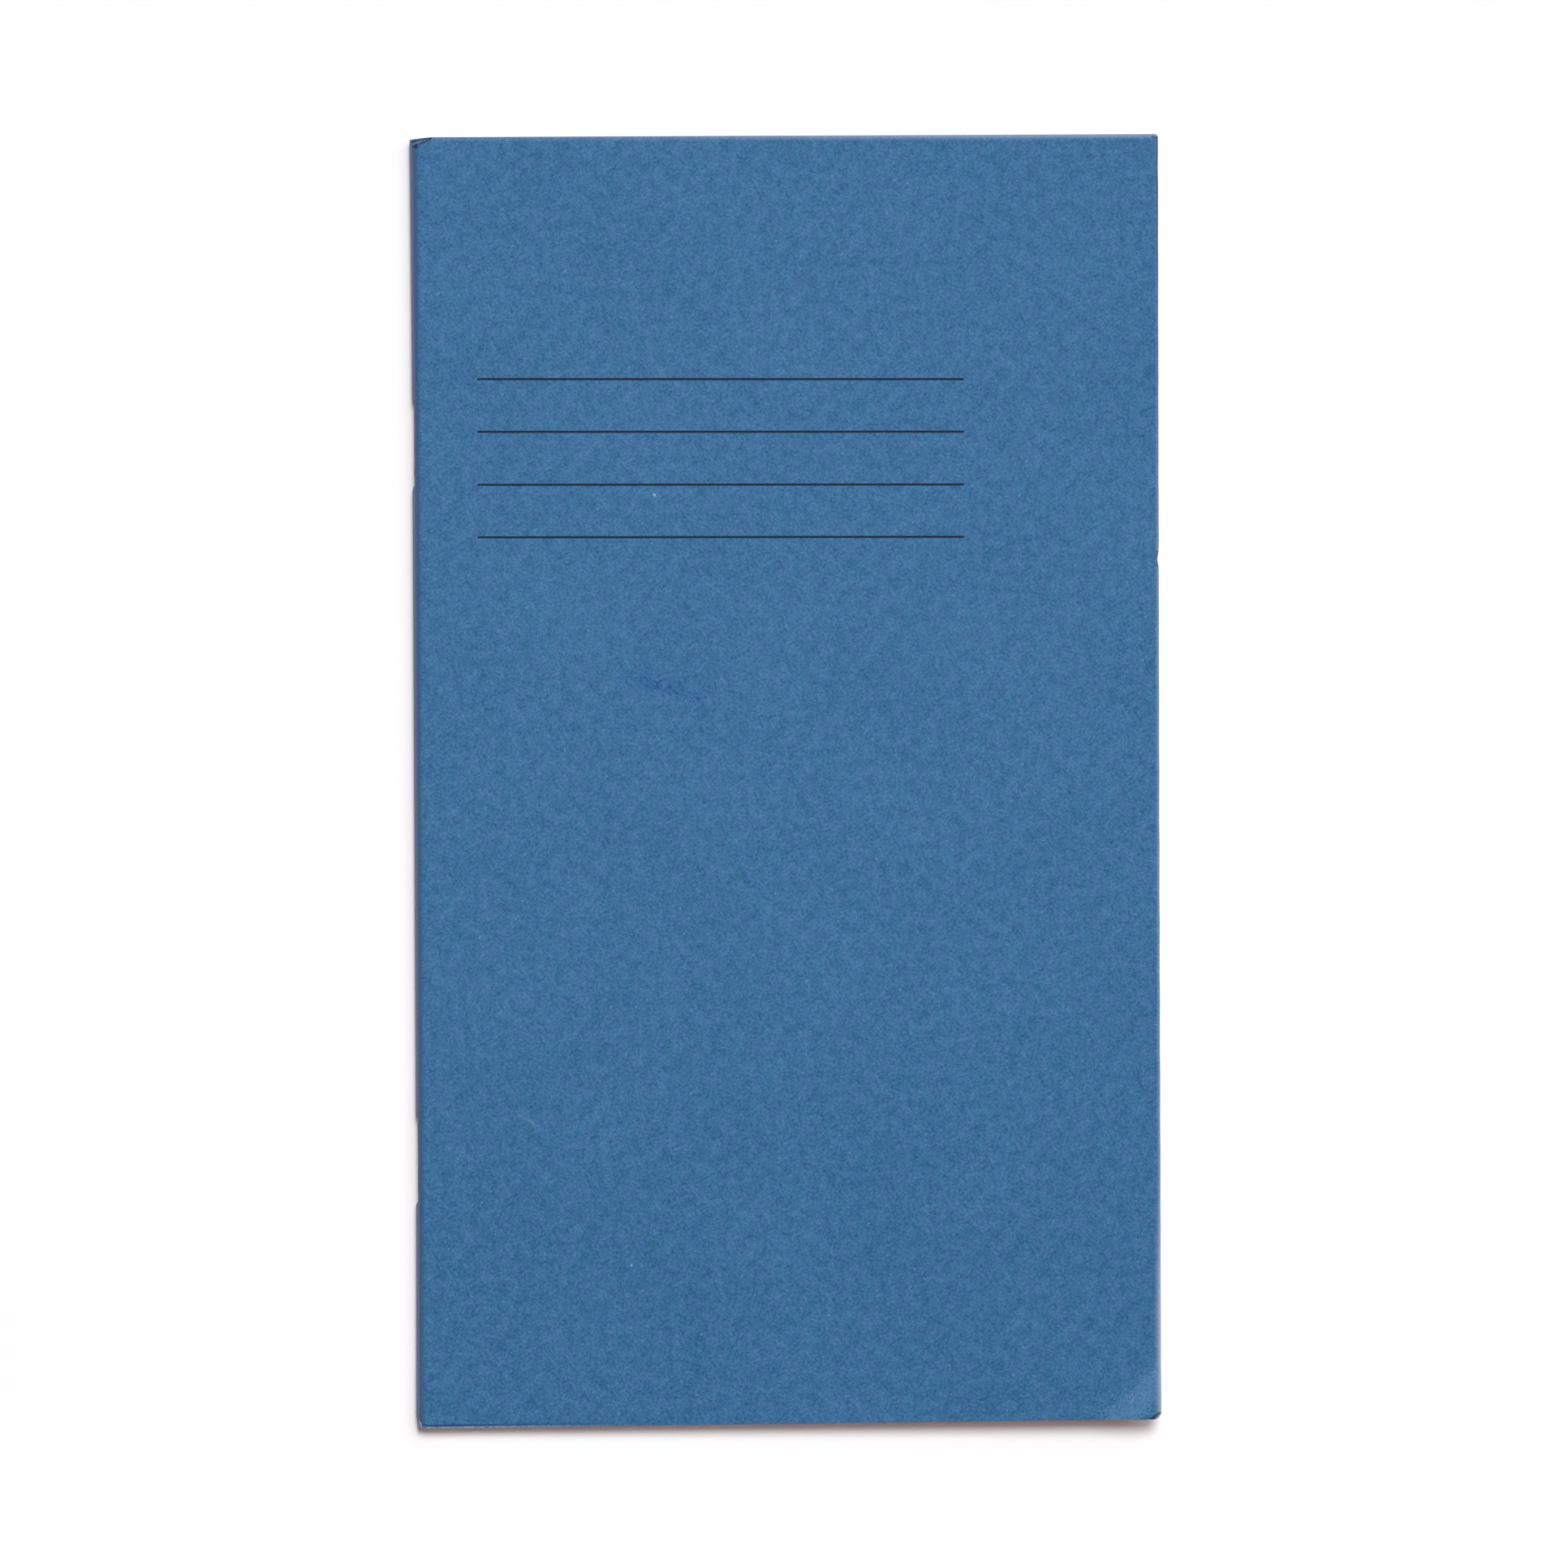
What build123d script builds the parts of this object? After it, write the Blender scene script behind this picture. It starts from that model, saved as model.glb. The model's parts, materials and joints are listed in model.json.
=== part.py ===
from build123d import *

import os
from itertools import pairwise
from math import sqrt

# Stapled exercise book, closed and lying on its back cover. Sizes in millimetres.
# The spine is at -X, the head of the page at +Y, and the front cover faces +Z.
# The origin is under the middle of the book, on the surface that it lies on.

# Trimmed size
book_width = 117.4
book_height = 203.0

# Paper and card
sheet_count = 8
paper_thickness = 0.10
cover_thickness = 0.30
sheet_gap = 0.03

# Creases: how far outside the bend of the cover they lie, and the gap between a fold and its leaf there
crease_offset = 0.76
crease_gap = 0.10

# Wire staples
wire_diameter = 0.50
crown_length = 13.0
clinch_length = 5.0
wire_bend = 0.20
wire_seat_gap = 0.02
hole_clearance = 0.07
clinch_clearance = 0.05
top_staple_to_head = 48.2
bottom_staple_to_tail = 42.1

# Dent that each staple presses into the spine
crown_recess = 0.26
dent_margin = 0.4
dent_ramp = 2.0

# Radii of the nested folds about the fold axis, from the inside out
wire_radius = wire_diameter / 2
centre_fold_radius = wire_radius + clinch_clearance
sheet_pitch = paper_thickness + sheet_gap
cover_inner_radius = centre_fold_radius + sheet_count * sheet_pitch
cover_outer_radius = cover_inner_radius + cover_thickness

# Each sheet bends round the fold axis inside the fold reach, and its leaves turn outside the leaf reach
fold_reach = cover_outer_radius + crease_offset
leaf_reach = fold_reach + crease_gap

# Main places
spine_x = -book_width / 2
fore_edge_x = book_width / 2
head_y = book_height / 2
tail_y = -book_height / 2
axis_x = spine_x + cover_outer_radius
axis_z = cover_outer_radius

# Staple places along the spine, and how far each dent draws the folds in
staple_places = {
    "staple_bottom": tail_y + bottom_staple_to_tail,
    "staple_top": head_y - top_staple_to_head,
}
leg_offset = crown_length / 2 - wire_radius
dent_depth = crown_recess + wire_diameter + wire_seat_gap
dent_half_length = crown_length / 2 + dent_margin
crown_x = spine_x + crown_recess + wire_radius
clinch_x = axis_x + dent_depth - centre_fold_radius + wire_seat_gap + wire_radius
hole_width = wire_diameter + 2 * hole_clearance

# Sides of the fold axis that a leaf can lie on
over = 1
under = -1

os.makedirs("parts", exist_ok=True)


def dent_stations():
    """Places along the spine, from tail to head, with how far the folds are drawn in there."""
    stations = [(tail_y, 0)]
    for staple_y in sorted(staple_places.values()):
        stations.append((staple_y - dent_half_length - dent_ramp, 0))
        stations.append((staple_y - dent_half_length, dent_depth))
        stations.append((staple_y + dent_half_length, dent_depth))
        stations.append((staple_y + dent_half_length + dent_ramp, 0))
    stations.append((head_y, 0))
    return stations


def sheet_radii(sheet):
    """Inner and outer fold radius of a sheet, counted from 1 at the outside of the nest."""
    inner = centre_fold_radius + (sheet_count - sheet) * sheet_pitch
    return inner, inner + paper_thickness


def reach_x(reach, height):
    """Where a sheet at this height above or below the fold axis comes to this reach from it."""
    return axis_x + sqrt(reach**2 - height**2)


def fold_profile(y, dent, inner, outer):
    """Section of a fold across the spine: a half round bend with two straight ends."""
    bend_x = axis_x + dent
    end_out, end_in = reach_x(fold_reach, outer), reach_x(fold_reach, inner)
    low_out, low_in = axis_z - outer, axis_z - inner
    high_out, high_in = axis_z + outer, axis_z + inner
    with BuildSketch(Plane.XZ.offset(-y)) as section:
        with BuildLine():
            Line((end_out, low_out), (bend_x, low_out))
            CenterArc((bend_x, axis_z), outer, 270, -90)
            CenterArc((bend_x, axis_z), outer, 180, -90)
            Line((bend_x, high_out), (end_out, high_out))
            Line((end_out, high_out), (end_in, high_in))
            Line((end_in, high_in), (bend_x, high_in))
            CenterArc((bend_x, axis_z), inner, 90, 90)
            CenterArc((bend_x, axis_z), inner, 180, 90)
            Line((bend_x, low_in), (end_in, low_in))
            Line((end_in, low_in), (end_out, low_out))
        make_face()
    return section.sketch


def make_fold(name, inner, outer):
    """One U-shaped fold along the spine, drawn in at the staples and pierced by their legs."""
    with BuildPart() as fold:
        for (y, dent), (next_y, next_dent) in pairwise(dent_stations()):
            section = fold_profile(y, dent, inner, outer)
            if dent == next_dent:
                extrude(section, amount=y - next_y)
            else:
                next_section = fold_profile(next_y, next_dent, inner, outer)
                loft([section, next_section], ruled=True)
        for staple_y in staple_places.values():
            for leg_y in (staple_y - leg_offset, staple_y + leg_offset):
                with BuildSketch(Plane.YZ.offset(spine_x)):
                    with Locations((leg_y, axis_z)):
                        Rectangle(hole_width, hole_width)
                extrude(amount=clinch_x - spine_x, mode=Mode.SUBTRACT)
    save(fold, name)


def make_leaf(name, inner, outer, side):
    """A flat leaf or cover panel, from its crease to the fore-edge, over or under the fold axis."""
    inner_z, outer_z = axis_z + side * inner, axis_z + side * outer
    with BuildPart() as leaf:
        with BuildSketch(Plane.XZ.offset(-tail_y)):
            with BuildLine():
                Polyline(
                    (reach_x(leaf_reach, inner), inner_z),
                    (fore_edge_x, inner_z),
                    (fore_edge_x, outer_z),
                    (reach_x(leaf_reach, outer), outer_z),
                    close=True,
                )
            make_face()
        extrude(amount=-book_height)
    save(leaf, name)


def make_staple(name, staple_y):
    """A wire staple: crown outside the spine, legs through the folds, tips clinched towards each other."""
    leg_y = staple_y + leg_offset
    half_path = [
        (crown_x, leg_y - wire_bend),
        (crown_x + wire_bend, leg_y),
        (clinch_x - wire_bend, leg_y),
        (clinch_x, leg_y - wire_bend),
        (clinch_x, leg_y - clinch_length),
    ]
    other_half = [(x, 2 * staple_y - y) for x, y in reversed(half_path)]
    with BuildPart() as staple:
        with BuildLine(Plane.XY.offset(axis_z)) as path:
            Polyline(*other_half, *half_path)
        with BuildSketch(Plane(origin=path.line @ 0, z_dir=path.line % 0)):
            Circle(wire_radius)
        sweep(path=path.line, transition=Transition.RIGHT)
    save(staple, name)


def save(piece, name):
    """Label a finished piece and write it."""
    piece.part.label = name
    export_step(piece.part, f"parts/{name}.step")


# Cover: one card, bent round the outside of the sheets
make_fold("cover_spine", cover_inner_radius, cover_outer_radius)
make_leaf("cover_front", cover_inner_radius, cover_outer_radius, over)
make_leaf("cover_back", cover_inner_radius, cover_outer_radius, under)

# Sheets: nested from the outside in, each a front leaf, a fold and a back leaf
for sheet in range(1, sheet_count + 1):
    inner, outer = sheet_radii(sheet)
    make_fold(f"sheet_{sheet}_fold", inner, outer)
    make_leaf(f"sheet_{sheet}_front_leaf", inner, outer, over)
    make_leaf(f"sheet_{sheet}_back_leaf", inner, outer, under)

# Staples
for name, staple_y in staple_places.items():
    make_staple(name, staple_y)
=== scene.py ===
import json
import math

import bpy
import numpy as np
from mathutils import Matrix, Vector


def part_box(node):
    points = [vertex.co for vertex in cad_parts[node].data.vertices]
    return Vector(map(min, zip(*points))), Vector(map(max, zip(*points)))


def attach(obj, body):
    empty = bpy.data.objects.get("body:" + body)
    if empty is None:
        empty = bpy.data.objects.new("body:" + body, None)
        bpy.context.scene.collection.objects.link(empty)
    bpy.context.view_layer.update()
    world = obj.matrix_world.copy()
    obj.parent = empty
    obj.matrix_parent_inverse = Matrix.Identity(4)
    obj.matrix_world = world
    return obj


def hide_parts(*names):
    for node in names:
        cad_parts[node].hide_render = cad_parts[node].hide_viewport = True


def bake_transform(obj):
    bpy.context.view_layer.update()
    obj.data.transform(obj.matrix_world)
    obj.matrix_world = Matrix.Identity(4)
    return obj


# Stapled exercise book, closed on its back cover: spine at -X, head at +Y, front cover facing +Z.
# The staples are the frame's own. The cover and the sheets are built here as thin bent slabs.
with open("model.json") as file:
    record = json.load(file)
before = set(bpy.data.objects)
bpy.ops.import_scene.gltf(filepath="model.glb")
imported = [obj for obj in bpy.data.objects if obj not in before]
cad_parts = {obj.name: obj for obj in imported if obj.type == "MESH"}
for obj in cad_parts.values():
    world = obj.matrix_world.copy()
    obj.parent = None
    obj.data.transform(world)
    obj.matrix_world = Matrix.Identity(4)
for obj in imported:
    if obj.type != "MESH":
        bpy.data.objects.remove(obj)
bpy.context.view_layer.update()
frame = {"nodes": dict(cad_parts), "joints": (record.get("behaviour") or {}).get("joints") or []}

MM = 0.001
MAP = "flat_map"
sharp_angle = math.radians(40)

# Places and sizes, read from the frame
joint_places = {joint["name"]: Vector(joint["pos_m"]) for joint in frame["joints"]}
fold_axis = joint_places["book_open"]
cover_hinge = joint_places["front_cover_open"]
cover_low, cover_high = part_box("cover_front")
spine_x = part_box("cover_spine")[0].x
fore_x = cover_high.x
head_y, tail_y = cover_high.y, cover_low.y
cover_outer = cover_high.z - fold_axis.z
cover_inner = cover_low.z - fold_axis.z
sheet_count = sum(name.endswith("_fold") for name in frame["nodes"])
sheet_radii = {}
for sheet in range(1, sheet_count + 1):
    leaf_low, leaf_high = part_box(f"sheet_{sheet}_front_leaf")
    sheet_radii[sheet] = (leaf_low.z - fold_axis.z, leaf_high.z - fold_axis.z)
staples = ("staple_bottom", "staple_top")
staple_boxes = [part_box(name) for name in staples]
wire = staple_boxes[0][1].z - staple_boxes[0][0].z

# Dents that the wires press into the folds. The card rises over the ends of a wire, the paper keeps clear.
wire_seat = 0.02 * MM
dent_depth = staple_boxes[0][0].x - spine_x + wire + wire_seat
dent_ramp = 1.2 * MM
cover_dent_margin = -0.65 * MM
sheet_dent_margin = 0.2 * MM

# Where the pieces of the cover and of each sheet meet beside the fold, and how far they bend there
under_seam_x = fold_axis.x + 1.2 * MM
over_seam_x = cover_hinge.x - 0.1 * MM
cover_bend_length = 3.0 * MM

# How the used cover stands up from a flat stack, and the share of that which each leaf takes
rise_start_x = fold_axis.x + 2 * MM
rise_bend = 0.12
wedge_rise = 1.0 * MM
curl_rise = 1.1 * MM
curl_start_y, curl_length = -8 * MM, 92 * MM
wave_rise = 0.06 * MM
wave_start_x, wave_growth = fold_axis.x + 6 * MM, 40 * MM
wave_length_x, wave_length_y = 21 * MM, 33 * MM
wave_phase_x, wave_phase_y = 0.8, 0.3
top_leaf_share = 0.92
leaf_share_step = 0.06

# The lower corner of the cover is bent up along a line, and its bruised tip down again
flap_line = Vector((50.4 * MM, -100.7 * MM))
flap_out = Vector((0.694, -0.720))
flap_slope = 0.16
flap_softness = 0.5 * MM
tip_start = 4.2 * MM
tip_slope = 0.38
tip_softness = 0.35 * MM

# How far the trimmed sheets are from a true rectangle
fore_lean = 0.3 * MM
lean_start = 0.05
head_skew = 0.10 * MM
tail_skew = 0.55 * MM
trim_loss = 0.12 * MM
cover_corner = 1.2 * MM
page_corner = 5.0 * MM
head_corner = 0.6 * MM
page_insets = np.array([0.22, 0.31, 0.18, 0.27, 0.35, 0.24, 0.29, 0.20]) * MM

# Wear of the cover's outline
spine_flare = 0.2 * MM
flare_start, flare_length = 45 * MM, 56 * MM
spine_wear_reach = 3.4 * MM
head_crush, head_crush_length = 0.32 * MM, 4 * MM
foot_crush_in, foot_crush_up = 0.2 * MM, 0.1 * MM
foot_crush_reach, foot_crush_length = 2.2 * MM, 2 * MM
nick_y, nick_half, nick_depth, nick_reach = 34.3 * MM, 1.5 * MM, 0.2 * MM, 0.8 * MM
fore_roughness, fore_roughness_reach = 0.03 * MM, 0.6 * MM
ripple_short, ripple_long = 1.3 * MM, 3.7 * MM

# Printed lines on the front cover. Their rows slope a little and level out towards the head and the middle.
line_start_x, line_end_x = -48.36 * MM, 28.09 * MM
line_places = [y * MM for y in (63.105, 54.815, 46.485, 38.225)]
line_width = 0.35 * MM
line_slope = -0.0063
slope_knots = np.array([0, 36, 66, 92]) * MM

# Ruling of the pages
rule_pitch = 8.0 * MM
rule_width = 0.24 * MM
rule_head_margin = 19.0 * MM
rule_tail_margin = 9.0 * MM


def ease(value):
    """A smooth step from 0 to 1."""
    value = np.clip(value, 0.0, 1.0)
    return value * value * (3 - 2 * value)


def fade(distance, reach):
    """1 at an edge, falling smoothly to 0 at this reach from it."""
    return 1 - ease(distance / reach)


def dent_spans(margin):
    """Middle and half length of the dent under each staple, to this margin past the wire's ends."""
    return [((low.y + high.y) / 2, (high.y - low.y) / 2 + margin) for low, high in staple_boxes]


def dent(y, margin):
    """How far the staples draw a fold in at these places along it."""
    drawn = np.zeros_like(y)
    for middle, half in dent_spans(margin):
        drawn = np.maximum(drawn, fade(np.abs(y - middle) - half, dent_ramp))
    return dent_depth * drawn


def dent_rows(margin):
    """Rows that follow the dents under the staples."""
    rows = []
    for middle, half in dent_spans(margin):
        rows.append(middle)
        for step in np.linspace(0, dent_ramp, 6):
            rows += [middle - half - step, middle + half + step]
    return rows


def past_flap(x, y):
    """Distance past the line that the lower corner is bent up along."""
    return (x - flap_line.x) * flap_out.x + (y - flap_line.y) * flap_out.y


def soft_bend(past, slope, softness):
    """Height of a bend that eases from level into its slope."""
    return slope * softness * np.log1p(np.exp(past / softness))


def rise(x, y):
    """How far the used front cover stands up, more so to the fore-edge and the lower corner."""
    run = np.clip((x - rise_start_x) / (fore_x - rise_start_x), 0, 1)
    opened = (1 + rise_bend) * run**2 / (run + rise_bend)
    wedge = opened * (wedge_rise + curl_rise * ease((curl_start_y - y) / curl_length))
    flap = soft_bend(past_flap(x, y), flap_slope, flap_softness)
    ripple = np.sin(x / wave_length_x + wave_phase_x) * np.sin(y / wave_length_y + wave_phase_y)
    wave = wave_rise * (1.0 + ripple) * ease((x - wave_start_x) / wave_growth)
    return wedge + flap + wave


def fold_tip(x, y):
    """How far the bruised tip of the cover's lower corner is bent down."""
    return soft_bend(past_flap(x, y) - tip_start, tip_slope, tip_softness)


def round_corner(x, y, corner_x, corner_y, radius):
    """Pull a square corner of a sheet in to a quarter circle."""
    side_x, side_y = math.copysign(1, corner_x), math.copysign(1, corner_y)
    a = np.clip((x - corner_x) * side_x / radius + 1, 0, 1)
    b = np.clip((y - corner_y) * side_y / radius + 1, 0, 1)
    new_x = x + side_x * radius * a * (np.sqrt(1 - b * b / 2) - 1)
    new_y = y + side_y * radius * b * (np.sqrt(1 - a * a / 2) - 1)
    return new_x, new_y


def trim(x, y, corner, inset=0.0):
    """Where a point of the ideal rectangle lies on the trimmed sheet."""
    x, y = round_corner(x, y, fore_x, tail_y, corner)
    x, y = round_corner(x, y, fore_x, head_y, head_corner)
    across = (x - spine_x) / (fore_x - spine_x)
    down = (head_y - y) / (head_y - tail_y)
    new_x = x + (fore_lean * (1 - 2 * down) - inset) * ease((across - lean_start) / (1 - lean_start))
    new_y = y + (tail_skew * down - head_skew * (1 - down)) * (2 * across - 1)
    new_y = new_y + (trim_loss + inset) * (2 * down - 1)
    return new_x, new_y


def crush(x, y):
    """Where a point of the cover lies after wear: crushed spine ends and a rough, nicked fore-edge."""
    from_spine, from_fore = x - spine_x, fore_x - x
    beside_spine = fade(from_spine, spine_wear_reach)
    flare = beside_spine * np.clip((np.abs(y) - flare_start) / flare_length, 0, 1) ** 2
    top = beside_spine * fade(head_y - y, head_crush_length)
    foot = fade(from_spine, foot_crush_reach) * fade(y - tail_y, foot_crush_length)
    nick = fade(np.abs(y - nick_y), nick_half) * fade(from_fore, nick_reach)
    ripple = np.sin(y / ripple_short) * np.sin(y / ripple_long + 1) * fade(from_fore, fore_roughness_reach)
    new_x = x + foot_crush_in * foot - nick_depth * nick + fore_roughness * ripple - spine_flare * flare
    new_y = y - head_crush * top + foot_crush_up * foot
    return new_x, new_y


def make_slab(name, outer, inner, flat, outer_kinds, inner_kinds, rim_kind, materials):
    """A closed thin piece between two grids of points.

    Rows run from tail to head, and columns from the back of the book round the spine to the front.
    """
    rows, columns = outer.shape[:2]
    count = rows * columns
    index = np.arange(count).reshape(rows, columns)
    cells = [index[:-1, :-1], index[:-1, 1:], index[1:, 1:], index[1:, :-1]]
    out_quads = np.stack(cells, -1).reshape(-1, 4)
    in_quads = out_quads[:, ::-1] + count
    rims = []
    for edge in (index[0, ::-1], index[-1, :], index[:, 0], index[::-1, -1]):
        rims.append(np.stack([edge[:-1], edge[1:], edge[1:] + count, edge[:-1] + count], -1))
    rim_quads = np.concatenate(rims)
    quads = np.concatenate([out_quads, in_quads, rim_quads])
    kinds = np.concatenate([outer_kinds.ravel(), inner_kinds.ravel(), np.full(len(rim_quads), rim_kind)])
    points = np.concatenate([outer.reshape(-1, 3), inner.reshape(-1, 3)])
    mesh = bpy.data.meshes.new(name)
    mesh.from_pydata(points.tolist(), [], quads.tolist())
    for material in materials:
        mesh.materials.append(material)
    mesh.polygons.foreach_set("material_index", kinds.astype(np.int32))
    mesh.polygons.foreach_set("use_smooth", np.ones(len(quads), dtype=bool))
    layer = mesh.uv_layers.new(name=MAP)
    corners = np.concatenate([flat.reshape(-1, 2), flat.reshape(-1, 2)])[quads.ravel()]
    layer.uv.foreach_set("vector", corners.astype(np.float32).ravel())
    mesh.set_sharp_from_angle(angle=sharp_angle)
    mesh.update()
    piece = bpy.data.objects.new(name, mesh)
    bpy.context.scene.collection.objects.link(piece)
    return piece


def grid(ys, xs, level, slopes=None):
    """Points of one face of a level panel, from its rows and columns. Rows may slope across it."""
    x = np.broadcast_to(xs, (len(ys), len(xs))).copy()
    y = np.broadcast_to(ys[:, None], x.shape).copy()
    if slopes is not None:
        y = y + slopes[:, None] * x
    return x, y, np.full(x.shape, level)


def stack(x, y, z):
    """Points of a face from their three coordinates."""
    return np.stack([x, y, z], -1)


def merge(*groups, gap=0.04 * MM):
    """Sorted places out of several lists, without ones that all but coincide."""
    places = []
    for place in sorted(np.concatenate([np.asarray(group, dtype=float) for group in groups])):
        if not places or place - places[-1] > gap:
            places.append(place)
    return np.array(places)


def drop_near(places, fixed, gap):
    """The places that keep a distance from the fixed ones."""
    fixed = np.asarray(fixed)
    return [place for place in places if np.min(np.abs(fixed - place)) > gap]


def tone(red, green, blue):
    """A colour as it looks on screen, 0 to 255 a channel, in the renderer's linear numbers."""
    linear = [((value / 255 + 0.055) / 1.055) ** 2.4 for value in (red, green, blue)]
    return (*linear, 1.0)


class Surface:
    """A material under construction, with short names for its nodes. Its map is in millimetres."""

    def __init__(self, name):
        self.material = bpy.data.materials.new(name)
        self.material.use_nodes = True
        self.nodes = self.material.node_tree.nodes
        self.links = self.material.node_tree.links
        self.shader = self.nodes["Principled BSDF"]
        self.place = self.node("ShaderNodeUVMap", uv_map=MAP).outputs["UV"]
        split = self.node("ShaderNodeSeparateXYZ")
        self.put(split.inputs[0], self.place)
        self.u, self.v = split.outputs["X"], split.outputs["Y"]
        self.fray = None

    def node(self, kind, **settings):
        made = self.nodes.new(kind)
        for key, value in settings.items():
            setattr(made, key, value)
        return made

    def put(self, socket, value):
        if isinstance(value, bpy.types.NodeSocket):
            self.links.new(value, socket)
        else:
            socket.default_value = value

    def math(self, operation, first, second=0.0):
        made = self.node("ShaderNodeMath", operation=operation)
        self.put(made.inputs[0], first)
        self.put(made.inputs[1], second)
        return made.outputs[0]

    def step(self, value, start, end):
        """A smooth step from 0 at start to 1 at end."""
        made = self.node("ShaderNodeMapRange", interpolation_type="SMOOTHSTEP")
        self.put(made.inputs["Value"], value)
        self.put(made.inputs["From Min"], min(start, end))
        self.put(made.inputs["From Max"], max(start, end))
        result = made.outputs["Result"]
        return result if start < end else self.math("SUBTRACT", 1.0, result)

    def both(self, *shares):
        result = shares[0]
        for share in shares[1:]:
            result = self.math("MULTIPLY", result, share)
        return result

    def noise(self, scale, detail=2.0, roughness=0.5, stretch=(1.0, 1.0), turn=0.0, offset=0.0):
        moved = self.node("ShaderNodeMapping", vector_type="TEXTURE")
        self.put(moved.inputs["Vector"], self.place)
        moved.inputs["Location"].default_value = (offset, offset, 0)
        moved.inputs["Rotation"].default_value = (0, 0, turn)
        moved.inputs["Scale"].default_value = (*stretch, 1)
        made = self.node("ShaderNodeTexNoise", noise_dimensions="2D")
        self.put(made.inputs["Vector"], moved.outputs["Vector"])
        self.put(made.inputs["Scale"], scale)
        self.put(made.inputs["Detail"], detail)
        self.put(made.inputs["Roughness"], roughness)
        return made.outputs["Fac"]

    def wobble(self, noise, middle, swing):
        """A number that the noise swings about its middle."""
        swung = self.math("MULTIPLY", self.math("SUBTRACT", noise, 0.5), swing)
        return self.math("ADD", swung, middle)

    def mix(self, share, first, second):
        made = self.node("ShaderNodeMix", data_type="RGBA")
        self.put(made.inputs[0], share)
        self.put(made.inputs[6], first)
        self.put(made.inputs[7], second)
        return made.outputs[2]

    def stain(self, colour, tint, *shares):
        """The colour with a tint over it where all these shares are high."""
        return self.mix(self.both(*shares), colour, tint)

    def near(self, start, end, width):
        """1 along a mark between two places on the map, fading raggedly to 0 at its width."""
        if self.fray is None:
            self.fray = self.noise(2.6, detail=2.0, roughness=0.6, turn=0.6, offset=17.0)
        run = Vector(end) - Vector(start)
        off = self.node("ShaderNodeVectorMath", operation="SUBTRACT")
        self.put(off.inputs[0], self.place)
        off.inputs[1].default_value = (*start, 0)
        dot = self.node("ShaderNodeVectorMath", operation="DOT_PRODUCT")
        self.put(dot.inputs[0], off.outputs[0])
        dot.inputs[1].default_value = (*(run / run.length_squared), 0)
        along_run = self.node("ShaderNodeClamp")
        self.put(along_run.inputs[0], dot.outputs["Value"])
        foot = self.node("ShaderNodeVectorMath", operation="SCALE")
        foot.inputs[0].default_value = (*run, 0)
        self.put(foot.inputs["Scale"], along_run.outputs[0])
        gap = self.node("ShaderNodeVectorMath", operation="DISTANCE")
        self.put(gap.inputs[0], off.outputs[0])
        self.put(gap.inputs[1], foot.outputs[0])
        frayed = self.math("ADD", gap.outputs["Value"], self.wobble(self.fray, 0.0, 2.2 * width))
        return self.step(frayed, width, 0.25 * width)

    def bump(self, height, distance, strength=1.0, rounding=0.0):
        made = self.node("ShaderNodeBump")
        made.inputs["Strength"].default_value = strength
        made.inputs["Distance"].default_value = distance
        self.put(made.inputs["Height"], height)
        if rounding:
            rounded = self.node("ShaderNodeBevel", samples=6)
            rounded.inputs["Radius"].default_value = rounding
            self.put(made.inputs["Normal"], rounded.outputs[0])
        self.links.new(made.outputs[0], self.shader.inputs["Normal"])

    def finish(self, colour, roughness, specular):
        self.put(self.shader.inputs["Base Color"], colour)
        self.put(self.shader.inputs["Roughness"], roughness)
        self.shader.inputs["Specular IOR Level"].default_value = specular
        return self.material


# On the map of the cover, u runs from the middle of the spine towards the fore-edge of the front
quarter_turn = math.pi / 2 * cover_outer
map_shift = quarter_turn - fold_axis.x
map_end = (fore_x + map_shift) / MM

# Depth of the surfaces' fine relief
fine_relief = 0.01 * MM
card_relief = 0.02 * MM
cut_relief = 0.04 * MM

card_fluff = tone(200, 208, 218)
card_dark = tone(28, 58, 96)
# Dark colour of dirt, also used for painted shade on the upper fore-edge and on the lower corner's tip
card_grime_and_shade = tone(22, 34, 58)

# Dark marks on the front cover, dirt and one of painted shade: start and end in millimetres, width and
# strength
dirt_and_shade_marks = [
    ((-58.5, 101.05), (-55.5, 101.36), 0.17, 0.90),
    ((-57.9, 100.35), (-55.5, 101.18), 0.20, 0.90),
    ((-58.1, 100.25), (-57.6, 100.20), 0.42, 0.70),
    ((57.8, 101.10), (58.5, 100.90), 0.22, 0.60),
    ((58.45, 35.4), (58.45, 33.2), 0.28, 0.55),
    ((55.4, -101.45), (57.6, -101.35), 0.20, 0.45),
    # painted shade on the bent-down tip of the lower corner
    ((57.2, -101.35), (58.4, -100.55), 0.38, 0.80),
    ((-19.7, -68.4), (-19.6, -68.4), 0.24, 0.60),
    ((-55.4, 70.3), (-54.7, 69.4), 0.16, 0.45),
]
fluff_marks = [
    ((-58.45, -100.45), (-58.05, -101.05), 0.17, 0.75),
    ((-58.75, -101.15), (-57.60, -101.70), 0.24, 0.50),
    ((-20.6, 45.05), (-20.5, 45.0), 0.26, 0.55),
    ((-24.8, -76.2), (-24.7, -76.2), 0.22, 0.60),
    ((-42.5, -52.3), (-39.3, -54.2), 0.14, 0.14),
]
scuff_runs = [((-25.3, 16.2), (-19.5, 15.1)), ((-19.8, 15.1), (-13.3, 12.6))]


def cover_mark(card, start, end, width):
    """A mark between two places on the front cover, all in millimetres."""
    shift = Vector((map_shift / MM, 0))
    return card.near(Vector(start) + shift, Vector(end) + shift, width)


def on_front(card):
    """1 on the front of the cover, 0 on its back."""
    return card.step(card.u, 0.0, 0.5)


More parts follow.
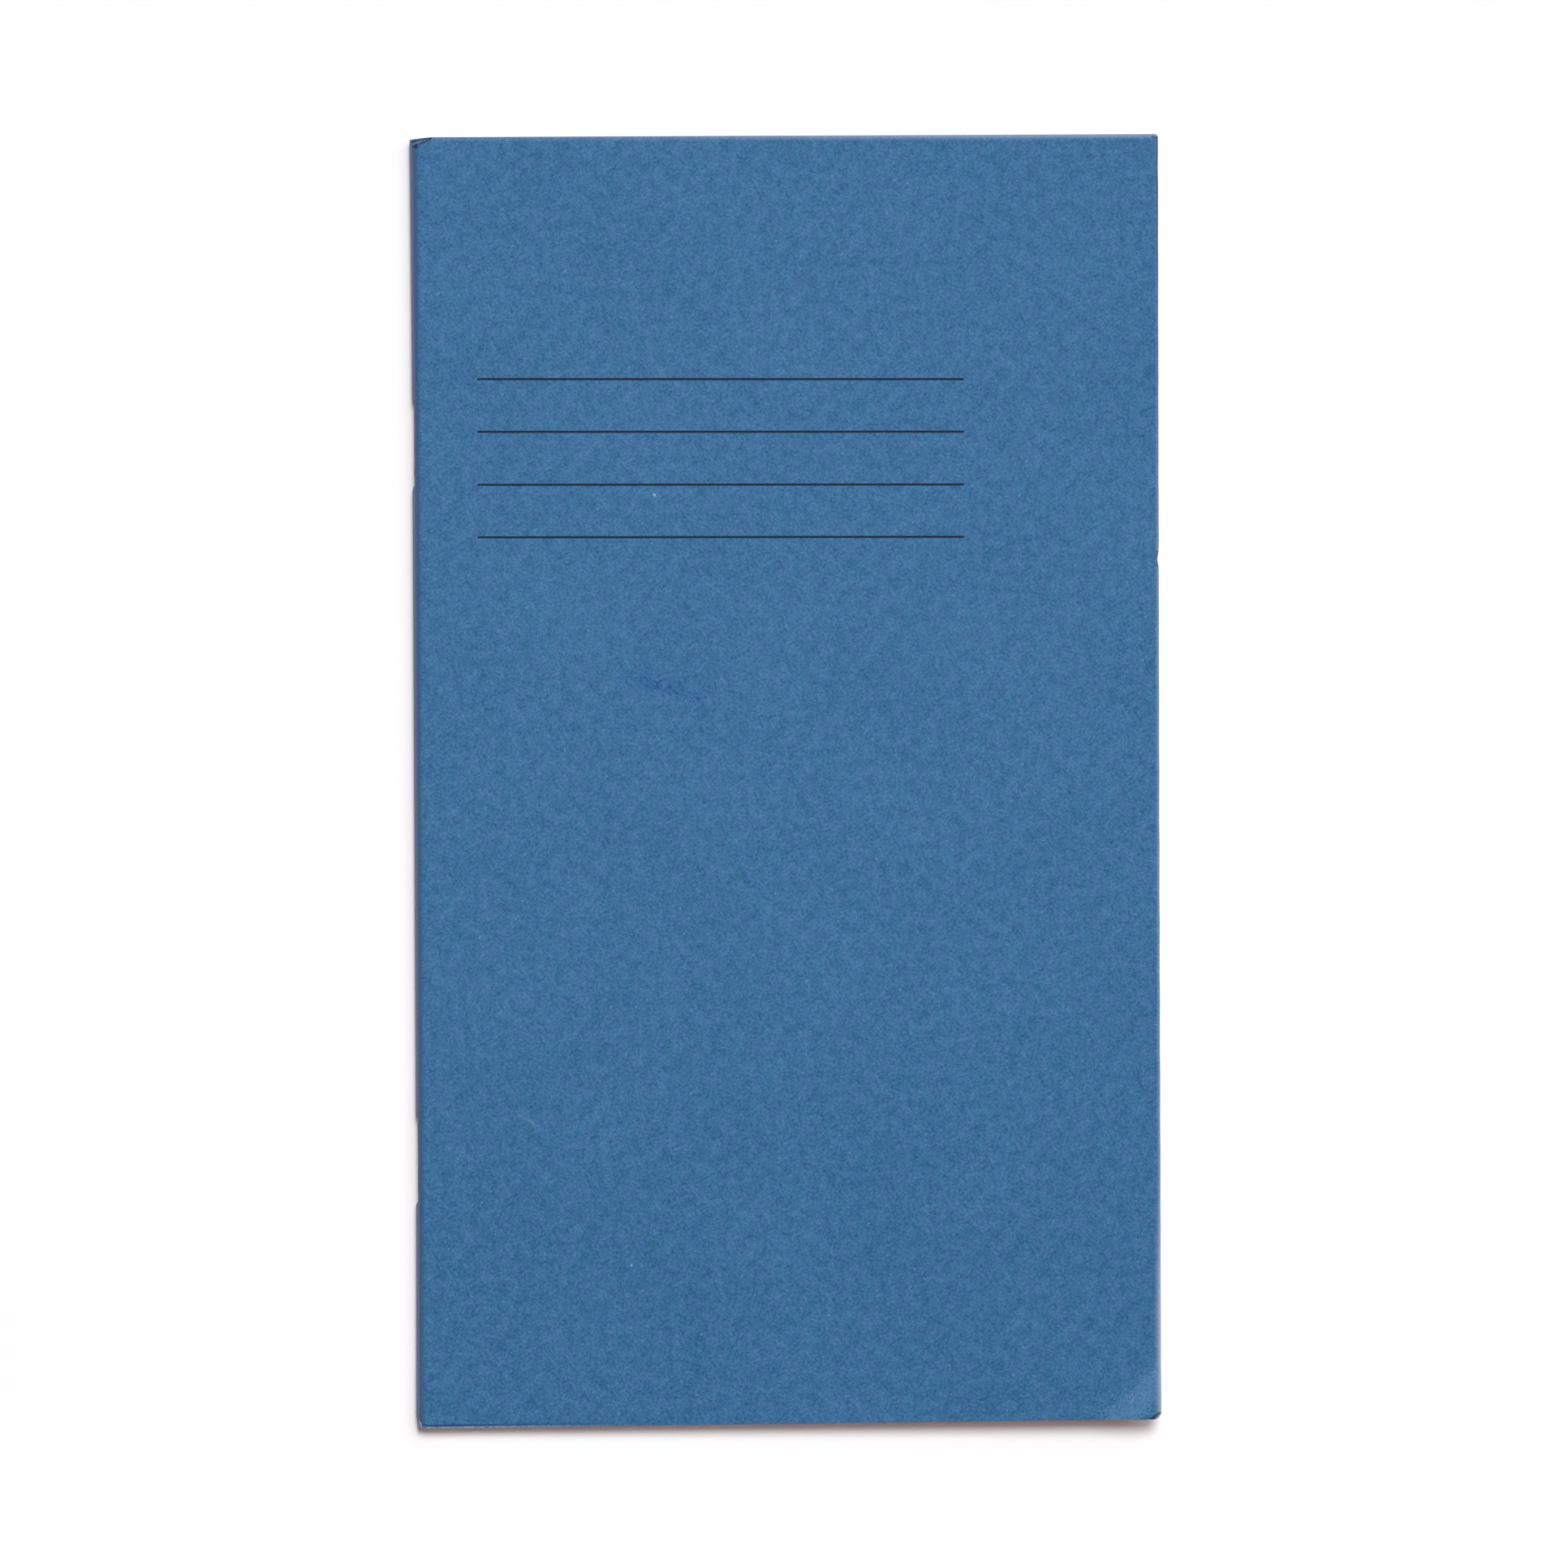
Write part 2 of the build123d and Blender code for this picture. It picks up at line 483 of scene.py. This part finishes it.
def card_speckle(card):
    """Colour of dyed card: fibres, mottling, faint clouds and specks, with painted shade darkening it
    towards the tail. Also its relief and grain.
    """
    fibre = card.noise(2.1, detail=3.0, roughness=0.62, turn=0.5)
    grain = card.noise(5.0, detail=1.0, turn=1.1, offset=31.0)
    blotch = card.noise(0.55, detail=3.0, roughness=0.6, turn=0.9, offset=57.0)
    cloud = card.noise(0.05, detail=2.0, turn=0.3, offset=83.0)
    light = card.wobble(fibre, 0.5, 1.45)
    for noise, swing in ((grain, 0.52), (blotch, 0.80), (cloud, 0.16)):
        light = card.math("ADD", light, card.wobble(noise, 0.0, swing))
    # Painted shade: the card darkens towards the tail, as if the light from the head fell off there
    painted_tail_shade = card.step(card.v, 30.0, -110.0)
    light = card.math("SUBTRACT", light, card.math("MULTIPLY", painted_tail_shade, 0.13))
    colour = card.mix(light, tone(26, 80, 122), tone(84, 134, 178))
    hue = card.step(card.noise(0.35, detail=3.0, turn=0.7, offset=101.0), 0.30, 0.70)
    colour = card.mix(0.24, colour, card.mix(hue, tone(51, 114, 149), tone(64, 105, 159)))
    pale_speck = card.noise(1.3, detail=3.0, roughness=0.65, turn=0.4, offset=140.0)
    dark_speck = card.noise(1.2, detail=3.0, roughness=0.65, turn=1.3, offset=170.0)
    hair = card.noise(1.7, detail=1.0, stretch=(1.0, 4.5), turn=0.7, offset=190.0)
    colour = card.stain(colour, tone(128, 165, 196), card.step(pale_speck, 0.68, 0.80), 0.55)
    colour = card.stain(colour, tone(36, 78, 120), card.step(dark_speck, 0.62, 0.78), 0.50)
    colour = card.stain(colour, tone(36, 74, 114), card.step(hair, 0.72, 0.82), 0.35)
    return colour, card.math("ADD", fibre, card.math("MULTIPLY", grain, 0.6)), grain


def rims_worn_lit_and_shaded(card, colour, ragged):
    """Rims: rubbed faint all round, stronger on the front to the fore-edge. Down the fore-edge the pale rim
    grows towards the tail. This is partly wear and partly painted highlight where the curled edge catches
    the light, with a further painted highlight near the tail. A painted shade line runs along the upper
    fore-edge.
    """
    out = card.math("SUBTRACT", map_end, card.math("ABSOLUTE", card.u))
    up = card.math("SUBTRACT", head_y / MM, card.v)
    front = on_front(card)
    to_fore = card.both(front, card.step(card.u, 25.0, 90.0))
    head_share = card.math("ADD", 0.38, card.math("MULTIPLY", to_fore, 0.62))
    # Growing towards the tail: partly wear, partly painted highlight on the curled fore-edge
    fore_share = card.math("ADD", 0.30, card.math("MULTIPLY", card.step(card.v, 85.0, 20.0), 0.70))
    head_rim = card.both(card.step(up, 1.00, -0.30), head_share)
    fore_rim = card.both(card.step(out, 0.70, -0.40), fore_share)
    rim = card.math("MAXIMUM", head_rim, fore_rim)
    colour = card.stain(colour, tone(190, 200, 210), rim, card.wobble(ragged, 0.56, 0.25))
    # Painted highlight where the curled fore-edge near the tail catches the light
    lower_fore_highlight = card.both(front, card.step(out, 1.20, -0.20), card.step(card.v, -60.0, -85.0))
    colour = card.stain(colour, tone(196, 206, 216), lower_fore_highlight, 0.45)
    # Painted shade: a dark line along the upper fore-edge, for its shadowed cut edge
    fore_shade_line = card.both(front, card.step(out, 0.34, 0.10), card.step(card.v, 62.0, 96.0))
    return card.stain(colour, card_grime_and_shade, fore_shade_line, 0.60)


def fray_tail(card, colour, ragged):
    """Tail edge: a dark line where the card is bruised, and broken pale fluff at the cut."""
    low = card.math("SUBTRACT", card.v, tail_y / MM)
    to_spine = card.both(on_front(card), card.step(card.u, 42.0, 4.0))
    line = card.both(to_spine, card.step(low, 0.66, 0.50), card.step(low, 0.24, 0.36))
    colour = card.stain(colour, card_dark, line, card.step(ragged, 0.10, 0.50), 0.75)
    fluff = card.both(to_spine, card.step(low, 0.30, 0.08), card.step(ragged, 0.30, 0.68))
    return card.stain(colour, tone(186, 188, 194), fluff, 0.70)


def shade_and_rub_spine(card, colour, ragged):
    """Spine: painted shade along the turn of the bend, rubbed grey at its crest."""
    turn = card.math("ABSOLUTE", card.u)
    # Painted shade where the rolled spine turns away from the light
    shade = card.step(turn, 2.60, 1.60)
    colour = card.stain(colour, tone(57, 90, 129), shade, card.wobble(ragged, 0.85, 0.60))
    crest = card.step(turn, 1.85, 0.60)
    return card.stain(colour, tone(130, 138, 166), crest, card.wobble(ragged, 0.88, 0.60))


def soil_and_shade(card, colour):
    """Crushed head of the spine, bruised corners, small specks of dirt, and painted shade on the bent-down
    tip of the lower corner.
    """
    crushed = cover_mark(card, (-58.0, 100.7), (-56.4, 101.1), 0.5)
    colour = card.stain(colour, tone(120, 128, 146), crushed, 0.45)
    for start, end, width, strength in dirt_and_shade_marks:
        colour = card.stain(colour, card_grime_and_shade, cover_mark(card, start, end, width), strength)
    return colour


def scuff(card, colour):
    """A dark scuff in the middle of the front, of short flecks on a bluer streak."""
    flecks = card.noise(2.2, detail=2.0, roughness=0.6, stretch=(1.0, 2.2), turn=1.2, offset=233.0)
    fleck = card.step(flecks, 0.50, 0.64)
    for start, end in scuff_runs:
        colour = card.stain(colour, tone(50, 98, 158), cover_mark(card, start, end, 2.4), 0.16)
        colour = card.stain(colour, tone(34, 76, 128), cover_mark(card, start, end, 1.1), fleck, 0.90)
    return colour


def bend_corner(card, colour, ragged):
    """The lower corner is bent up: its crease is rubbed paler, with raised fibres along it."""
    rubbed = cover_mark(card, (51.8, -101.8), (59.3, -94.9), 3.4)
    colour = card.stain(colour, tone(104, 152, 188), rubbed, card.wobble(ragged, 0.27, 0.60))
    fibres = card.noise(2.0, detail=2.0, roughness=0.6, stretch=(3.5, 1.0), turn=0.72, offset=251.0)
    raised = cover_mark(card, (51.0, -100.6), (58.4, -94.2), 2.2)
    return card.stain(colour, tone(150, 186, 210), raised, card.step(fibres, 0.58, 0.82), 0.30)


def add_fluff(card, colour, ragged):
    """Pale fluff at the lower end of the spine, and a few pale specks."""
    for start, end, width, strength in fluff_marks:
        mark = cover_mark(card, start, end, width)
        colour = card.stain(colour, card_fluff, mark, card.wobble(ragged, 0.90, 0.80), strength)
    return colour


def make_card(name, worn_and_shaded):
    """Blue dyed card. The worn side carries the rubbed edges, creases and scuffs of a used book, and
    painted shade and highlight at the spine, the fore-edge and the lower corner.
    """
    card = Surface(name)
    colour, height, grain = card_speckle(card)
    # Wear, with painted shade and highlight, on the outside only
    if worn_and_shaded:
        ragged = card.noise(1.6, detail=3.0, roughness=0.7, offset=211.0)
        colour = rims_worn_lit_and_shaded(card, colour, ragged)
        colour = fray_tail(card, colour, ragged)
        colour = shade_and_rub_spine(card, colour, ragged)
        colour = soil_and_shade(card, colour)
        colour = scuff(card, colour)
        colour = bend_corner(card, colour, ragged)
        colour = add_fluff(card, colour, ragged)
        crease = cover_mark(card, (49.9, -101.4), (58.0, -93.4), 0.5)
        height = card.math("SUBTRACT", height, card.math("MULTIPLY", crease, 0.8))
    card.bump(height, card_relief, 0.6)
    return card.finish(colour, card.wobble(grain, 0.86, 0.12), 0.12)


def make_card_edge():
    """Cut edge of the card: paler, with loose fibres along the cut."""
    edge = Surface("card_cut_edge")
    fibre = edge.noise(3.0, detail=3.0, roughness=0.7)
    colour = edge.mix(edge.step(fibre, 0.3, 0.7), tone(70, 104, 142), tone(128, 150, 176))
    edge.bump(fibre, cut_relief, 0.7)
    return edge.finish(colour, edge.wobble(fibre, 0.9, 0.1), 0.08)


def make_ink():
    """Printed line on the cover: nearly black, with the card's fibres showing through a little."""
    ink = Surface("printed_line")
    fibre = ink.noise(4.0, detail=3.0, roughness=0.65)
    colour = ink.mix(ink.step(fibre, 0.50, 0.85), tone(24, 29, 43), tone(44, 62, 88))
    ink.bump(fibre, card_relief, 0.5)
    return ink.finish(colour, ink.wobble(fibre, 0.78, 0.15), 0.15)


def make_paper():
    """Smooth writing paper: off-white, with faint fibres and slightly toned clouds."""
    paper = Surface("writing_paper")
    fibre = paper.noise(3.2, detail=3.0, roughness=0.6, stretch=(1.0, 1.8))
    cloud = paper.noise(0.06, detail=2.0, offset=40.0)
    colour = paper.mix(paper.step(fibre, 0.25, 0.80), tone(229, 230, 223), tone(237, 238, 233))
    colour = paper.stain(colour, tone(231, 228, 216), paper.step(cloud, 0.45, 0.75), 0.35)
    paper.bump(fibre, fine_relief, 0.5)
    return paper.finish(colour, paper.wobble(fibre, 0.82, 0.14), 0.2)


def make_feint():
    """Pale grey ruling, a little uneven as a ruling pen leaves it."""
    feint = Surface("feint_ruling")
    flow = feint.noise(0.9, detail=3.0, roughness=0.6, stretch=(2.5, 1.0))
    colour = feint.mix(flow, tone(150, 158, 172), tone(186, 191, 199))
    feint.bump(flow, fine_relief, 0.3)
    return feint.finish(colour, feint.wobble(flow, 0.8, 0.12), 0.2)


def make_steel():
    """Drawn staple wire: bright steel with fine lines along it and dull patches."""
    steel = Surface("staple_wire")
    coordinates = steel.node("ShaderNodeTexCoord")
    moved = steel.node("ShaderNodeMapping")
    steel.put(moved.inputs["Vector"], coordinates.outputs["Object"])
    moved.inputs["Scale"].default_value = (9000, 500, 9000)
    drawn = steel.node("ShaderNodeTexNoise")
    steel.put(drawn.inputs["Vector"], moved.outputs["Vector"])
    drawn.inputs["Scale"].default_value = 1.0
    patches = steel.node("ShaderNodeTexNoise")
    steel.put(patches.inputs["Vector"], coordinates.outputs["Object"])
    patches.inputs["Scale"].default_value = 700.0
    dull = patches.outputs["Fac"]
    colour = steel.mix(steel.step(dull, 0.35, 0.70), tone(138, 131, 140), tone(96, 88, 94))
    steel.shader.inputs["Metallic"].default_value = 1.0
    steel.bump(drawn.outputs["Fac"], fine_relief, 0.4, rounding=0.3 * wire)
    return steel.finish(colour, steel.wobble(dull, 0.42, 0.25), 0.5)


card_outside = make_card("blue_card_outside", True)
card_inside = make_card("blue_card_inside", False)
card_edge = make_card_edge()
ink = make_ink()
paper = make_paper()
feint = make_feint()
steel = make_steel()
for staple in staples:
    frame["nodes"][staple].data.materials.clear()
    frame["nodes"][staple].data.materials.append(steel)

# Materials of the cover and of the pages, and what number a face has for each
card_materials = [card_outside, card_inside, card_edge]
OUTSIDE, INSIDE, CUT, PRINTED = range(4)
page_materials = [paper, feint]
PLAIN, RULED = range(2)

# Spacing of rows and columns near an edge, where the handled corners bend most
edge_steps = np.array([0, 0.12, 0.35, 0.7, 1.1, 1.6, 2.2, 2.9, 3.7, 4.6, 5.6, 6.8, 8.2, 9.8, 11.6, 14]) * MM
page_steps = np.array([0, 0.5, 1.2, 2.1, 3.2, 4.6, 6.4, 8.8, 12]) * MM
page_run = np.array([2, 3, 4.5, 6.5, 9, 12, 16, 22, 30, 40, 52, 65, 78, 90]) * MM
nick_run = np.array([-1.6, -1.1, -0.6, 0, 0.6, 1.1, 1.6]) * MM
bend_run = np.linspace(0, cover_bend_length, 17)
fine_gap = 0.02 * MM
line_clearance = 0.5 * MM
rule_clearance = 0.3 * MM

# Turns of the folds, from the back of the book to the front
spine_turns = np.linspace(0, math.pi, 37)
sheet_turns = np.linspace(0, math.pi, 13)
press_half, press_fade = math.radians(10), math.radians(35)

# Distance between the sheets on their common map, in metres, so that no two have the same fibres
sheet_map_step = 0.3


def from_ends(steps):
    """Rows at these distances from the tail and from the head."""
    return np.concatenate([tail_y + steps, head_y - steps])


def cover_map(x, y, under=False):
    """Map of a cover panel, unrolled from the middle of the spine."""
    u = x + map_shift
    return np.stack([-u if under else u, y], -1) / MM


def rolled_map(u, rows):
    """Map of a folded piece, from its columns unrolled and its rows."""
    return np.stack(np.broadcast_arrays(u, rows[:, None]), -1) / MM


def build_back_panel():
    """Back panel of the cover, lying flat under the book."""
    rows = merge(from_ends(edge_steps), np.arange(-85, 86, 10) * MM)
    columns = merge(fore_x - edge_steps, np.arange(-50, 44, 10) * MM, [under_seam_x], gap=fine_gap)[::-1]
    x, y, z = grid(rows, columns, fold_axis.z - cover_outer)
    flat = cover_map(x, y, under=True)
    x, y = trim(x, y, cover_corner)
    outer, inner = stack(x, y, z), stack(x, y, z + cover_outer - cover_inner)
    kinds = np.full((len(rows) - 1, len(columns) - 1), OUTSIDE)
    inner_kinds = np.full_like(kinds, INSIDE)
    panel = make_slab("cover_back_panel", outer, inner, flat, kinds, inner_kinds, CUT, card_materials)
    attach(panel, "back_cover")
    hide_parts("cover_back")


def build_spine():
    """Rolled spine of the cover, pressed in where the staple wires lie."""
    rows = merge(from_ends(edge_steps), dent_rows(cover_dent_margin), np.arange(-85, 86, 6) * MM)
    pressed = fade(np.abs(spine_turns - math.pi / 2) - press_half, press_fade)
    depth = dent(rows, cover_dent_margin)[:, None] * pressed
    side = np.ones((len(rows), 1))
    faces = []
    for radius in (cover_outer, cover_inner):
        x = fold_axis.x - radius * np.sin(spine_turns) + depth
        z = np.broadcast_to(fold_axis.z - radius * np.cos(spine_turns), x.shape)
        x = np.hstack([under_seam_x * side, x, over_seam_x * side])
        z = np.hstack([(fold_axis.z - radius) * side, z, (fold_axis.z + radius) * side])
        y = np.broadcast_to(rows[:, None], x.shape)
        x, y = trim(x, y, cover_corner)
        x, y = crush(x, y)
        faces.append(stack(x, y, z))
    arc = (spine_turns - math.pi / 2) * cover_outer
    u = np.concatenate([[-(under_seam_x + map_shift)], arc, [over_seam_x + map_shift]])
    flat = rolled_map(u, rows)
    kinds = np.full((len(rows) - 1, len(u) - 1), OUTSIDE)
    inner_kinds = np.full_like(kinds, INSIDE)
    roll = make_slab("cover_spine_roll", *faces, flat, kinds, inner_kinds, CUT, card_materials)
    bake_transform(roll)
    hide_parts("cover_spine")


def build_front_panel():
    """Front panel of the cover, with its printed lines, curled corner and nicked edge."""
    line_rows = np.add.outer(line_places, [-line_width / 2, line_width / 2]).ravel()
    loose = np.concatenate([from_ends(edge_steps), nick_y + nick_run, np.arange(-87, 88, 4) * MM])
    rows = merge(drop_near(loose, line_rows, line_clearance), line_rows)
    past_bend = spine_x + np.array([7.2, 9]) * MM
    loose = np.concatenate([fore_x - edge_steps, past_bend, np.arange(-44, 43, 5) * MM])
    ends = [line_start_x, line_end_x]
    fixed = [*ends, *(cover_hinge.x + bend_run), over_seam_x]
    columns = merge(drop_near(loose, ends, line_clearance), fixed, gap=fine_gap)
    slopes = np.interp(rows, slope_knots, [0, line_slope, line_slope, 0])
    x, y, z = grid(rows, columns, fold_axis.z + cover_outer, slopes)
    z = z + rise(x, y) - fold_tip(x, y)
    flat = cover_map(x, y)
    x, y = trim(x, y, cover_corner)
    x, y = crush(x, y)
    outer, inner = stack(x, y, z), stack(x, y, z - cover_outer + cover_inner)
    kinds = np.full((len(rows) - 1, len(columns) - 1), OUTSIDE)
    inner_kinds = np.full_like(kinds, INSIDE)
    printed = (columns[:-1] > line_start_x - line_width) & (columns[1:] < line_end_x + line_width)
    for place in line_places:
        row = np.argmin(np.abs(rows - (place - line_width / 2)))
        kinds[row, printed] = PRINTED
    materials = [*card_materials, ink]
    panel = make_slab("cover_front_panel", outer, inner, flat, kinds, inner_kinds, CUT, materials)
    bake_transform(panel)
    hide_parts("cover_front")


rule_places = np.arange(head_y - rule_head_margin, tail_y + rule_tail_margin, -rule_pitch)
rule_rows = np.concatenate([rule_places - rule_width / 2, rule_places + rule_width / 2])
loose_rows = np.concatenate([from_ends(page_steps), dent_rows(sheet_dent_margin)])
page_rows = merge(drop_near(loose_rows, rule_rows, rule_clearance), rule_rows, rule_places - rule_pitch / 2)
page_columns = merge(fore_x - page_steps, fold_axis.x + page_run)


def ruled_kinds(columns):
    """Ink on the faces of the ruled lines, paper elsewhere."""
    kinds = np.full((len(page_rows) - 1, columns - 1), PLAIN)
    for place in rule_places:
        kinds[np.argmin(np.abs(page_rows - (place - rule_width / 2))), :] = RULED
    return kinds


def build_front_page(sheet):
    """The piece of a folded sheet that has the fold and the front leaf."""
    inner_radius, outer_radius = sheet_radii[sheet]
    share = top_leaf_share - leaf_share_step * (sheet - 1)
    drawn = dent(page_rows, sheet_dent_margin)[:, None]
    side = np.ones((len(page_rows), 1))
    faces = []
    for radius in (outer_radius, inner_radius):
        bent = fold_axis.x - radius * np.sin(sheet_turns) + drawn
        x = np.hstack([under_seam_x * side, bent, under_seam_x * side, side * page_columns])
        z = np.concatenate([
            [fold_axis.z - radius],
            fold_axis.z - radius * np.cos(sheet_turns),
            np.full(len(page_columns) + 1, fold_axis.z + radius),
        ])
        y = np.broadcast_to(page_rows[:, None], x.shape)
        over = np.arange(x.shape[1]) > len(sheet_turns)
        z = z + np.where(over, share * rise(x, y), 0)
        x, y = trim(x, y, page_corner, page_insets[sheet - 1])
        faces.append(stack(x, y, z))
    quarter = math.pi / 2 * outer_radius
    u = np.concatenate([
        [fold_axis.x - under_seam_x - quarter],
        (sheet_turns - math.pi / 2) * outer_radius,
        [under_seam_x - fold_axis.x + quarter],
        page_columns - fold_axis.x + quarter,
    ])
    flat = rolled_map(u + sheet_map_step * sheet, page_rows)
    kinds = ruled_kinds(len(u))
    front = make_slab(f"sheet_{sheet}_front_page", *faces, flat, kinds, kinds, PLAIN, page_materials)
    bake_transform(front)
    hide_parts(f"sheet_{sheet}_fold", f"sheet_{sheet}_front_leaf")


def build_back_page(sheet):
    """The piece of a folded sheet that has the back leaf."""
    inner_radius, outer_radius = sheet_radii[sheet]
    columns = np.concatenate([page_columns[::-1], [under_seam_x]])
    x, y, z = grid(page_rows, columns, fold_axis.z - outer_radius)
    z = z + leaf_share_step * (sheet - 1) * rise(x, y)
    x, y = trim(x, y, page_corner, page_insets[sheet - 1])
    outer, inner = stack(x, y, z), stack(x, y, z + outer_radius - inner_radius)
    u = fold_axis.x - columns - math.pi / 2 * outer_radius
    flat = rolled_map(u - sheet_map_step * sheet, page_rows)
    kinds = ruled_kinds(len(columns))
    back = make_slab(f"sheet_{sheet}_back_page", outer, inner, flat, kinds, kinds, PLAIN, page_materials)
    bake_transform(back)
    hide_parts(f"sheet_{sheet}_back_leaf")


build_back_panel()
build_spine()
build_front_panel()
for sheet in sheet_radii:
    build_front_page(sheet)
    build_back_page(sheet)

# Floor: a plain white table top
floor_reach = 4.0
floor_drop = 0.02 * MM
floor_corners = np.array([(-1, -1), (1, -1), (1, 1), (-1, 1)]) * floor_reach
floor_mesh = bpy.data.meshes.new("floor")
floor_mesh.from_pydata([(x, y, 0) for x, y in floor_corners.tolist()], [], [(0, 1, 2, 3)])
floor_map = floor_mesh.uv_layers.new(name=MAP)
floor_map.uv.foreach_set("vector", (floor_corners / MM).astype(np.float32).ravel())
floor = bpy.data.objects.new("floor", floor_mesh)
bpy.context.scene.collection.objects.link(floor)
floor.location.z = -floor_drop
table = Surface("white_table")
table_grain = table.noise(0.05, detail=2.0)
table_colour = table.mix(table_grain, (0.97, 0.97, 0.97, 1), (0.98, 0.98, 0.98, 1))
floor_mesh.materials.append(table.finish(table_colour, table.wobble(table_grain, 0.9, 0.1), 0.05))


def add_sun(name, share, colour, angle, towards):
    """A lamp without falloff, giving this share of full brightness from this direction."""
    lamp = bpy.data.lights.new(name, "SUN")
    lamp.energy = math.pi * share
    lamp.color = colour
    lamp.angle = math.radians(angle)
    lamp_object = bpy.data.objects.new(name, lamp)
    lamp_object.rotation_euler = Vector(towards).to_track_quat("Z", "Y").to_euler()
    bpy.context.scene.collection.objects.link(lamp_object)


# Light: a key from the head, a broad softbox from the upper right, and a weak, warmer fill
add_sun("key", 0.705, (0.955, 1.0, 1.0), 22, (0.10, 0.44, 1.0))
add_sun("softbox", 0.36, (0.95, 1.0, 1.0), 52, (0.46, 0.45, 1.0))

world = bpy.data.worlds.new("studio")
world.use_nodes = True
bpy.context.scene.world = world
air, air_links = world.node_tree.nodes, world.node_tree.links
fill = air["Background"]
fill.inputs["Color"].default_value = (1.0, 0.45, 0.49, 1)
fill.inputs["Strength"].default_value = 0.155

# The fill only lights the book. Looked at or mirrored, the room is white.
backdrop = air.new("ShaderNodeBackground")
backdrop.inputs["Color"].default_value = (1, 1, 1, 1)
backdrop.inputs["Strength"].default_value = 1.0
light_path = air.new("ShaderNodeLightPath")
seen = light_path.outputs["Is Camera Ray"]
for ray in ("Is Glossy Ray", "Is Transmission Ray"):
    either = air.new("ShaderNodeMath")
    either.operation = "MAXIMUM"
    air_links.new(seen, either.inputs[0])
    air_links.new(light_path.outputs[ray], either.inputs[1])
    seen = either.outputs[0]
choice = air.new("ShaderNodeMixShader")
air_links.new(seen, choice.inputs[0])
air_links.new(fill.outputs[0], choice.inputs[1])
air_links.new(backdrop.outputs[0], choice.inputs[2])
air_links.new(choice.outputs[0], air["World Output"].inputs["Surface"])

# Camera: straight above the book and turned a little
distance = 1.0
frame_width = 0.24696
eye_x, eye_y = -0.36 * MM, -0.70 * MM
eye_turn = math.radians(-0.30)
camera = bpy.data.cameras.new("camera")
camera.sensor_width = 36.0
camera.lens = camera.sensor_width * distance / frame_width
eye = bpy.data.objects.new("camera", camera)
eye.location = (eye_x, eye_y, cover_high.z + distance)
eye.rotation_euler = (0, 0, eye_turn)
bpy.context.scene.collection.objects.link(eye)
bpy.context.scene.camera = eye
bpy.context.scene.view_settings.view_transform = "Standard"
